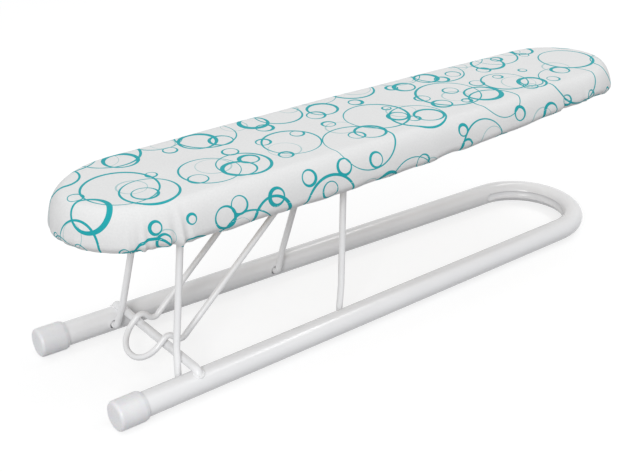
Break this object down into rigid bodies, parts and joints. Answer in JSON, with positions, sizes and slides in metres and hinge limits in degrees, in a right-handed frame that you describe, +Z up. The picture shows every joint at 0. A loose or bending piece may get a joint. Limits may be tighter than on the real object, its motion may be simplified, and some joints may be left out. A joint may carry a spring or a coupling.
{
  "type": "ironing board",
  "caption": "Table-top folding sleeve ironing board: tapered padded board on two bent-wire legs, with a hooked wire brace, over a U-shaped tube base.",
  "frame": {"origin": "on the floor, at the middle of the whole part's length and width, standing as it is used", "axes": "+X along the board towards the bend of the base and the narrow end, +Y across the board, +Z up"},
  "size_m": [0.5246, 0.1378, 0.1468],
  "materials": {
    "tube_paint": "white powder coat, semi-gloss",
    "wire_paint": "white powder coat, semi-gloss",
    "cap_plastic": "smooth white moulded plastic",
    "panel_wood": "bare chipboard",
    "pad_foam": "open-cell foam",
    "cover_cotton": "white printed cotton with teal rings",
    "elastic": "woven elastic",
    "clip_steel": "zinc-plated pressed steel",
    "screw_steel": "zinc-plated steel"
  },
  "bodies": {
    "base": {"base_tube": "tube_paint", "end_cap_near": "cap_plastic", "end_cap_far": "cap_plastic", "crossbar": "tube_paint"},
    "front_leg": {"front_leg": "wire_paint"},
    "rear_leg": {"rear_leg": "wire_paint"},
    "board": {"board_panel": "panel_wood", "foam_pad": "pad_foam", "cover": "cover_cotton", "hem_elastic": "elastic", "front_clip_near": "clip_steel", "front_clip_far": "clip_steel", "brace_clip_near": "clip_steel", "brace_clip_far": "clip_steel", "rear_clip_near": "clip_steel", "rear_clip_far": "clip_steel", "front_clip_screws": "screw_steel", "brace_clip_screws": "screw_steel", "rear_clip_screws": "screw_steel"},
    "brace": {"brace": "wire_paint"}
  },
  "joints": [
    {"name": "front_leg_fold", "type": "hinge", "parent": "base", "child": "front_leg", "pos_m": [-0.2025, 0, 0.0109], "axis": [0, 1, 0], "range_deg": [-87, 0]},
    {"name": "board_swing", "type": "hinge", "parent": "front_leg", "child": "board", "pos_m": [-0.18221, 0, 0.126], "axis": [0, 1, 0], "range_deg": [0, 87]},
    {"name": "rear_leg_fold", "type": "hinge", "parent": "base", "child": "rear_leg", "pos_m": [-0.0569, 0, 0.0109], "axis": [0, 1, 0], "range_deg": [-87, 0]},
    {"name": "brace_lift", "type": "hinge", "parent": "board", "child": "brace", "pos_m": [-0.0705, 0, 0.12625], "axis": [0, 1, 0], "range_deg": [0, 36.6]}
  ],
  "couplings": [
    {"joint": "board_swing", "follows": "front_leg_fold", "ratio": -1},
    {"joint": "rear_leg_fold", "follows": "front_leg_fold", "ratio": 1},
    {"joint": "brace_lift", "follows": "front_leg_fold", "ratio": -0.42}
  ]
}
